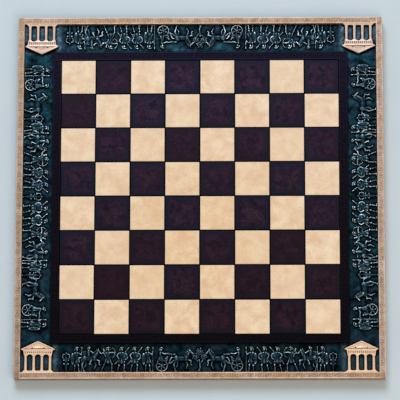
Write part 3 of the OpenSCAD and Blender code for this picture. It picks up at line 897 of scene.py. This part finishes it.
def warrior():
    """Chest, skirt, belt and a crested helmet"""
    ball((-0.1, 19.7, 1), (2.9, 3.3, 1.6))
    ball((-1.5, 20.9, 1.5), (1.4, 1.5, 1.2))
    ball((1.4, 20.9, 1.5), (1.4, 1.5, 1.2))
    limb((0, 18.4, 0.8), (0.2, 15.8, 0.8), 2.1, 1.8)
    limb((0.2, 16, 0.4), (0.3, 11.2, 0.5), 1.8, 3)
    folds((-1.5, 1.9, 15.6), (-3, 3.6, 10.8), 5, 1.5)
    limb((-1.8, 16.2, 1.3), (2.1, 16.2, 1.3), 0.65, 0.65)
    limb((0.3, 22.4, 1), (0.5, 23.6, 1), 1, 0.9)
    ball((0.6, 24.8, 1.2), (1.45, 1.65, 1.4))
    ball((0.4, 25.4, 1.3), (1.7, 1.3, 1.5))
    chain([(-1.9, 23.6, 1.4), (-1.9, 25.4, 1.6), (-0.9, 27, 1.7), (0.7, 27.6, 1.7), (2.1, 27.1, 1.6)],
          (0.4, 0.55))


def legs(back, front, out=0.9):
    """Two legs with greaves, each given as its hip, knee and ankle; the toes point to the right"""
    for (hip, knee, ankle), depth in ((back, out - 0.4), (front, out)):
        limb((*hip, depth), (*knee, depth + 0.3), 1.45, 1.05)
        ball((*knee, depth + 0.75), (0.95, 1.05, 0.8))
        limb((*knee, depth + 0.3), (*ankle, depth), 1.0, 0.6)
        limb((ankle[0] - 0.3, 0.55, depth), (ankle[0] + 2.2, 0.5, depth - 0.1), 0.65, 0.45)


def spearman():
    warrior()
    legs(((-1, 12.4), (-2.8, 7), (-4.6, 0.9)), ((1.2, 12.4), (3.4, 7.4), (2.6, 0.9)))
    chain([(-2.6, 21.4, 1.4), (-5, 18.2, 1.8), (-3.2, 15, 2)], (0.95, 0.7))
    limb((-7.4, 8.6, 1.6), (7.6, 26.4, 1.5), 0.38, 0.38)
    ball((7.9, 26.9, 1.3), (0.6, 1.5, 0.5), -40)
    ball((3.2, 17.2, 1.9), (4, 4, 0.9))
    hoop((3.2, 17.2, 2), 3.7, 0.42)
    hoop((3.2, 17.2, 2.45), 1.7, 0.28)
    ball((3.2, 17.2, 2.5), (0.8, 0.8, 0.6))


def guard():
    warrior()
    legs(((-0.8, 12.4), (-1.8, 7), (-2.2, 0.9)), ((1.2, 12.4), (2.4, 7), (3, 0.9)))
    chain([(2.4, 21.3, 1.4), (5.2, 19.2, 1.7), (6, 22.6, 1.7)], (0.95, 0.65))
    limb((6, 0.3, 1.1), (6, 26.2, 1.5), 0.42, 0.38)
    ball((6, 27, 1.3), (0.6, 1.5, 0.5))
    ball((-4.1, 14.6, 1.7), (2.3, 6.6, 1))
    chain([(-4.4, 20.8, 1.7), (-4.2, 14.6, 2.65), (-4.1, 8.4, 1.7)], (0.35, 0.35))
    limb((-5.9, 14.6, 1.9), (-2.3, 14.6, 2.2), 0.4, 0.4)


def archer():
    warrior()
    legs(((-1, 12.4), (-4.2, 8.2), (-7.4, 0.9)), ((1.4, 12.4), (4.6, 8.6), (4.4, 0.9)))
    limb((2.2, 21.6, 1.6), (7.6, 21.4, 1.5), 0.95, 0.65)
    chain([(-2.2, 21.8, 1.6), (-6, 21.2, 1.7), (-3.2, 19.6, 2.1)], (0.95, 0.6))
    around = [(1.6 + 6.5 * cos(radians(a)), 21.4 + 6.5 * sin(radians(a)), 1.4)
              for a in range(-60, 61, 15)]
    chain(around, (0.38, 0.38))
    chain([around[0], (-1.4, 21.2, 1.9), around[-1]], (0.24, 0.24))
    limb((-4.4, 24, 1.6), (-2.4, 17.2, 1.8), 1, 0.7)
    for shift in (-0.5, 0, 0.5):
        limb((-4.4 + shift, 24, 1.7), (-4.9 + shift, 26, 1.8), 0.28, 0.3)


def horse():
    ball((-0.6, 14.9, 0.9), (7.4, 3.1, 2))
    ball((4.9, 15.2, 1.2), (3.1, 3.5, 1.9))
    ball((-6, 15.4, 1.2), (3.2, 3.4, 2))
    chain([(5, 16.4, 1.2), (7.6, 20.4, 1.3), (9.2, 23.4, 1.4)], (3, 1.5))
    chain([(9, 23.7, 1.5), (11, 21.8, 1.5), (12.6, 20.3, 1.4)], (1.6, 0.85))
    limb((8.8, 24.6, 1.6), (9.2, 26.4, 1.5), 0.6, 0.25)
    for k in range(6):
        limb((4.4 + 0.75 * k, 18.8 + 1.15 * k, 1.7), (2.6 + 0.9 * k, 18.9 + 1.35 * k, 1.6), 0.5, 0.35)
    chain([(-6.4, 13.8, 1.2), (-8.8, 8.2, 1.3), (-6.8, 1, 1)], (2, 0.6))
    chain([(-5, 13, 0.5), (-4.6, 7.4, 0.6), (-8.4, 2, 0.4)], (1.8, 0.55))
    chain([(5.4, 13.8, 1.3), (10.4, 12.4, 1.5), (10, 8.4, 1.2)], (1.6, 0.6))
    chain([(4.6, 13.2, 0.6), (6.6, 7.8, 0.7), (4.4, 3.6, 0.5)], (1.5, 0.55))
    limb((10, 8.4, 1.2), (11.2, 7.4, 1.1), 0.65, 0.6)
    limb((-6.9, 0.8, 1), (-5.3, 0.7, 0.9), 0.7, 0.55)
    chain([(-8.6, 16.4, 1.2), (-11.6, 15.8, 1.4), (-13.6, 12.6, 1.3), (-14.4, 8.6, 1)], (0.95, 0.5))
    chain([(-10.4, 16.2, 1.2), (-12.6, 13, 1.5), (-13, 9.8, 1.1)], (0.55, 0.35))


def rider():
    horse()
    limb((-1.4, 18, 1.4), (-1.6, 23.4, 1.3), 2, 2.2)
    ball((-1, 26, 1.4), (1.4, 1.6, 1.4))
    chain([(-3, 25.4, 1.5), (-2.6, 27.1, 1.7), (-0.8, 27.9, 1.7), (0.6, 27.3, 1.6)], (0.4, 0.5))
    chain([(0.2, 23.6, 1.7), (3.6, 21, 1.9), (7, 21.4, 2)], (0.8, 0.5))
    chain([(-1.2, 17.8, 1.9), (1.6, 13.4, 2.4), (-0.6, 8.8, 2.2)], (1.3, 0.6))
    limb((-0.6, 8.8, 2.2), (1.2, 8.4, 2.1), 0.55, 0.4)
    for k in range(4):
        chain([(-2.6, 23.4 - k, 1.4), (-5.4 - 0.3 * k, 22.6 - 1.2 * k, 1.5), (-8, 22.4 - 1.5 * k, 1.2)],
              (0.55, 0.4))


def chariot():
    hoop((0, 6.9, 1.2), 6.1, 0.62)
    hoop((0, 6.9, 1.4), 1.5, 0.4)
    ball((0, 6.9, 1.6), (1, 1, 0.9))
    for k in range(6):
        turned = radians(60 * k + 20)
        limb((0, 6.9, 1.3), (6 * cos(turned), 6.9 + 6 * sin(turned), 1.1), 0.5, 0.38)
    chain([(-4.4, 9, 0.6), (-4.8, 11.6, 0.8), (-2.6, 13.6, 0.9)], (1.4, 1.2))
    chain([(-2.4, 12.4, 0.8), (2.4, 12.4, 0.9), (5.2, 12.2, 0.9), (6.4, 16.6, 1)], (1.6, 0.9))
    chain([(-3, 14.2, 1.3), (3.6, 14.2, 1.4), (6.6, 17.2, 1.3)], (0.5, 0.5))
    chain([(4.8, 9.8, 0.8), (9.6, 9.6, 0.9), (14.8, 14.4, 0.9)], (0.6, 0.42))
    limb((-1.6, 13.4, 1.1), (-1.4, 21.4, 1.2), 2, 1.9)
    folds((-2.6, 0, 19), (-3.2, 0.4, 13.6), 4, 1.8)
    ball((-0.8, 24.4, 1.3), (1.45, 1.65, 1.4))
    chain([(-3, 24, 1.4), (-2.2, 26.2, 1.6), (-0.4, 27.1, 1.6), (0.9, 26.4, 1.5)], (0.4, 0.5))
    chain([(-0.4, 21.4, 1.7), (3.4, 20, 1.8), (7.2, 20.6, 1.6)], (0.9, 0.55))
    for drop in (0, 0.9):
        limb((7, 20.6 - drop, 1.5), (15.2, 20.2 - drop, 1.1), 0.27, 0.27)


def amphora():
    profile = [(0.3, 1.35), (1, 1.1), (4, 2.3), (8, 3.4), (12, 3.7), (15, 2.9), (17, 1.5), (20, 1.15),
               (21.2, 1.7)]
    for (low, one), (high, two) in zip(profile, profile[1:]):
        limb((0, low, 0.2), (0, high, 0.2), one * 0.82, two * 0.82)
    for low in (9, 13):
        limb((-2.6, low, 1.6), (2.6, low, 1.6), 0.9, 0.9)
    for side in (-1, 1):
        chain([(side * 1.2, 20.2, 0.9), (side * 3.6, 19.4, 1), (side * 4, 16.6, 1), (side * 2.8, 14.4, 1)],
              (0.45, 0.45))


def olive_tree():
    """A forked trunk under three round tufts; the leaves of each go round it in a spiral"""
    dice = random.Random(11)
    leaves, golden = 16, 137.5
    chain([(-0.7, 1.3, 0.6), (0.7, 4.8, 1), (0.4, 9, 1.1), (-0.3, 13.4, 1)], (1.4, 0.9))
    chain([(-1.8, 0.4, 0.4), (-0.2, 4, 1)], (0.7, 0.7))
    chain([(1.4, 0.3, 0.4), (0.8, 4, 1)], (0.6, 0.6))
    limb((0.2, 8, 1), (4.2, 14, 0.9), 0.8, 0.5)
    limb((0.2, 9.6, 1), (-4.2, 14.6, 0.9), 0.8, 0.5)
    for across, up, reach in ((0.3, 22.6, 3.9), (-4.6, 17.4, 3.5), (4.9, 17, 3.3)):
        ball((across, up, 0.5), (reach * 0.8, reach * 0.8, 1.1))
        for k in range(leaves):
            angle = radians(k * golden)
            spread = reach * sqrt((k + 0.5) / leaves)
            spot = (across + spread * cos(angle), up + spread * sin(angle),
                    1.9 - 1.1 * spread / reach)
            ball(spot, (1.15, 0.5, 0.5), dice.uniform(0, 180))


def modelled(build):
    """Models one figure, melts its forms together and trims it at the ground"""
    put_down()
    figure = linked(bpy.data.objects.new("figure", bpy.data.meshes.new("figure")))
    open_up(figure)
    build()
    shape_with(figure, "REMESH", mode="VOXEL", voxel_size=VOXEL * MM)
    shape_with(figure, "SMOOTH", factor=0.4, iterations=1)
    below = block("below", (-40, -40, -9), (40, 60, -0.5))
    shape_with(figure, "BOOLEAN", object=below, solver="MANIFOLD")
    discard(below)
    shape_with(figure, "DECIMATE", ratio=min(1, FIGURE_FACES / len(figure.data.polygons)))
    mark_wear_highlight_and_shade(figure)
    return smooth(figure, 60)


# What the wear and painted highlight of a figure count: each metre that a place stands out from those round
# it, less a first share, and a bend outwards; and what its painted shade counts: a bend inwards
PROUD, PROUD_LESS, BENT, CREASED = 650, 0.35, 2.4, 6


def mark_wear_highlight_and_shade(figure):
    """Marks wear with a painted highlight where a place stands out and faces up, and painted shade at its
    foot, on steep flanks and, with dark patina, in creases
    """
    shape = bmesh.new()
    shape.from_mesh(figure.data)
    skin = BVHTree.FromBMesh(shape)
    ring = [mm(WEAR_AND_HIGHLIGHT_REACH * cos(k * pi / 6), WEAR_AND_HIGHLIGHT_REACH * sin(k * pi / 6), 20) for k in range(12)]
    stands = []
    for spot in shape.verts:
        hits = [skin.ray_cast(Vector((*spot.co.xy, 0)) + step, Vector((0, 0, -1)))[0] for step in ring]
        stands.append(spot.co.z - sum(max(0, hit.z) for hit in hits if hit) / len(ring))
    near = [[edge.other_vert(spot) for edge in spot.link_edges] for spot in shape.verts]
    bends = []
    for spot, others in zip(shape.verts, near):
        middle = sum((other.co for other in others), Vector()) / len(others)
        reach = sum((other.co - spot.co).length for other in others) / len(others)
        bends.append((spot.co - middle).dot(spot.normal) / reach)
    for _ in range(2):
        bends = [(bends[spot.index] + sum(bends[other.index] for other in others)) / (1 + len(others))
                 for spot, others in zip(shape.verts, near)]
    shape.free()
    ridge = figure.data.attributes.new("ridge", "FLOAT", "POINT")
    painted_shade = figure.data.attributes.new("painted_shade", "FLOAT", "POINT")
    for k, spot in enumerate(figure.data.vertices):
        high = spot.co.z * PER_METRE
        up = max(0, spot.normal.z)
        proud = max(0, stands[k] * PROUD - PROUD_LESS)
        bent = max(0, bends[k]) * BENT * min(2, high)
        # Wear, and a painted highlight kept to faces turned up towards the light
        ridge.data[k].value = min(1, proud + bent) * up ** 4
        # Painted shade at the foot, on steep flanks and, with dark patina, in creases
        painted_shade.data[k].value = min(1, max(0, 1.1 - high / 0.9, -bends[k] * CREASED, 1 - up * 1.9))


# Figure number, place from -1 to 1 along the half frieze, and 1 to face right or -1 left
HALF_FRIEZE_A = [
    (1, 0.13, -1), (2, 0.275, -1), (4, 0.38, -1), (3, 0.475, -1), (3, 0.57, -1),
    (5, 0.67, -1), (6, 0.8, -1), (4, 0.9, -1), (7, 0.975, 1)
]
HALF_FRIEZE_B = [
    (3, 0.09, -1), (3, 0.185, -1), (5, 0.285, -1), (6, 0.41, -1), (4, 0.52, -1),
    (7, 0.59, 1), (1, 0.7, 1), (2, 0.85, 1), (4, 0.96, -1)
]


def frieze(figures, half, middle):
    """The figures of the front side; the other half mirrors the first"""
    places = [(middle, 0, 1), *half, *[(kind, -x, -facing) for kind, x, facing in half]]
    return [
        another(figures[kind], "figure",
                move(x * FRIEZE_HALF, FIGURE_FEET - RIM_IN, GROUND_Z) @ Matrix.Diagonal((facing, 1, 1, 1)))
        for kind, x, facing in places
    ]


def skin_of(pieces):
    """The surface of some pieces, to measure distances from"""
    shape = bmesh.new()
    for piece in pieces:
        shape.from_mesh(piece.data)
    skin = BVHTree.FromBMesh(shape)
    shape.free()
    return skin


def close_to(skin, spot, reach):
    """1 on the skin of a piece, 0 at the reach and beyond"""
    far = skin.find_nearest(spot, reach * MM)[3]
    return 0 if far is None else 1 - far * PER_METRE / reach


# How far the painted shade round figures and temples reaches over the ground, and for the ground seen among
# a temple's columns also how far it is worn
FIGURE_SHADE, UNDER_TEMPLE, BESIDE_TEMPLE = 4, 4, 1.6
AMONG_COLUMNS = (0.18, 2.2)


def ground(figures, temples, rubbed, columns_from):
    """The uneven ground of the front side, mitred; it has painted shade close to what stands on it and a
    painted shadow beside the moulding, and is rubbed beside the temples; columns_from is where their columns
    begin, along and outwards"""
    put_down()
    inner = BORDER_OUT - TONGUE_W
    depth = RIM_IN - inner
    bpy.ops.mesh.primitive_grid_add(x_subdivisions=425, y_subdivisions=38, size=MM)
    slab = named(bpy.context.object, "ground")
    for spot in slab.data.vertices:
        x, y = (part * PER_METRE for part in spot.co.xy)
        spot.co = mm(x * 2 * RIM_IN, (y - 0.5) * depth - inner, GROUND_Z)
    swell = bpy.data.textures.new("swell", "CLOUDS")
    swell.noise_scale = SWELL_SIZE * MM
    swell.noise_depth = 3
    shape_with(slab, "DISPLACE", texture=swell, texture_coords="GLOBAL", direction="Z",
               strength=SWELL_H * MM, mid_level=0.62)
    open_up(slab)
    draw_up(0, 0, -1)
    bpy.ops.transform.resize(value=(1, 1, 0), center_override=mm(0, 0, DECK_Z))
    bpy.ops.mesh.dissolve_faces()
    face_out()
    mitre(slab)
    skins = skin_of(figures), skin_of(temples)
    for name in ("ridge", "painted_shade"):
        slab.data.attributes.new(name, "FLOAT", "POINT")
    ridge, painted_shade = slab.data.attributes["ridge"], slab.data.attributes["painted_shade"]
    for k, spot in enumerate(slab.data.vertices):
        x, out = abs(spot.co.x) * PER_METRE, -spot.co.y * PER_METRE
        if x > columns_from[0] and out > columns_from[1]:
            worn, temple_shade = AMONG_COLUMNS
        else:
            worn = rubbed * max(0, min(1, (x - TEMPLE_FROM + 12) / 8, (TEMPLE_FROM + 1 - x) / 4))
            temple_shade = UNDER_TEMPLE if x > TEMPLE_FROM else BESIDE_TEMPLE
        ridge.data[k].value = worn
        # Painted shade round figures and temples, and the moulding's painted shadow over the ground beside
        # it
        shades = [close_to(skin, spot.co, reach) for skin, reach in zip(skins, (FIGURE_SHADE, temple_shade))]
        painted_shade.data[k].value = max(*shades, 0.6 - (out - BORDER_OUT) / 5)
    return smooth(slab, 60)


def lay_friezes():
    """Two friezes, each laid on two sides: its half, its middle figure, the wear beside its
    temples, where their columns begin, the temples at its ends and its first side"""
    finish = relief_patina()
    kinds = [modelled(build) for build in
             (olive_tree, horse, chariot, spearman, guard, archer, rider, amphora)]
    for half, middle, rubbed, columns_from, corners, first in (
            (HALF_FRIEZE_A, 0, 0.25, (TEMPLE_FROM, COLUMNS_FROM), ("front_left", "front_right"), 0),
            (HALF_FRIEZE_B, 7, 0, (COLUMNS_FROM, TEMPLE_FROM), ("front_right", "back_right"), 1)):
        figures = frieze(kinds, half, middle)
        temples = [another(bpy.data.objects[f"corner_temple_{name}"], "temple", turn(-first))
                   for name in corners]
        front = join("frieze", [ground(figures, temples, rubbed, columns_from), *figures])
        for quarters in (first, first + 2):
            side = another(front, f"frieze_{SIDES[quarters]}", turn(quarters))
            dress(side, finish, "relief_patina", f"relief_{SIDES[quarters]}")
        discard(front, *temples)
    discard(*kinds)


# Felt underside


def lay_felt():
    """A square of felt laid under the panel, with a little nap"""
    half = RIM_OUT - FELT_BACK
    felt = block("felt", (-half, -half, 0), (half, half, PANEL_Z))
    bevel(felt, CORNER_R, 4, lambda at, way: abs(way.z) > 0.9)
    bevel(felt, 0.25, 2, lambda at, way: at.z < 0.01 or at.z > PANEL_Z - 0.01)
    dress(named(smooth(felt), "felt_underside"), felt_cloth(), "felt", "felt_backing")


# Board, table, light and camera

lay_squares()
lay_moulding()
lay_rim()
set_temples()
lay_friezes()
lay_felt()
for node, finish in (("base_panel", panel_wood()), ("field_board", black_board()),
                     ("rim_screws", screw_steel()), ("border_screws", screw_steel())):
    for slot in frame["nodes"][node].material_slots:
        slot.material = finish


def lay_table():
    put_down()
    bpy.ops.mesh.primitive_plane_add(size=6)
    table = named(bpy.context.object, "table")
    finish = new_finish("pale_table", 0.8, specular=0.2)
    colour = blend(finish, grain(finish, 60, 3), tint(187, 199, 207), tint(197, 208, 214))
    wire(finish, Base_Color=colour)
    table.data.materials.append(finish)


# Each lamp's name, place in metres, size in metres, power in watts and colour
LAMPS = [
    ("key", (-0.4, 2.6, 3.07), 1.9, 112, (0.88, 0.97, 1.07)),
    ("fill", (0.6, -1.3, 2.1), 1.5, 22, (1, 0.84, 0.62))
]


def light_up():
    """An even pale sky, a cool lamp behind the board and a warm one in front"""
    world = bpy.data.worlds.new("studio")
    bpy.context.scene.world = world
    world.use_nodes = True
    sky = world.node_tree.nodes["Background"]
    sky.inputs["Color"].default_value = (1, 0.99, 0.97, 1)
    sky.inputs["Strength"].default_value = 0.4
    for name, place, size, power, colour in LAMPS:
        lamp = bpy.data.lights.new(name, "AREA")
        lamp.energy, lamp.size, lamp.color = power, size, colour
        stand = linked(bpy.data.objects.new(name, lamp))
        stand.location = place
        stand.rotation_euler = (-Vector(place)).to_track_quat("-Z", "Y").to_euler()


def set_camera():
    """A long lens over the board, tilted 11.5 degrees towards its front; the shift is in squares"""
    tilt = (Matrix.Rotation(radians(-0.108), 3, "Z") @ Matrix.Rotation(radians(-11.538), 3, "X")
            @ Matrix.Rotation(radians(-1.295), 3, "Y"))
    shift = Vector((-0.0069, 0.1224, -80.991)) * PITCH * MM
    eye = bpy.data.cameras.new("camera")
    eye.lens, eye.sensor_width = 255.01, 36
    camera = linked(bpy.data.objects.new("camera", eye))
    camera.matrix_world = (Matrix.Translation(-(tilt.transposed() @ shift) + mm(0, 0, SQUARE_Z + SQUARE_T))
                           @ tilt.transposed().to_4x4())
    bpy.context.scene.camera = camera


lay_table()
light_up()
set_camera()
bpy.context.scene.view_settings.view_transform = "Standard"
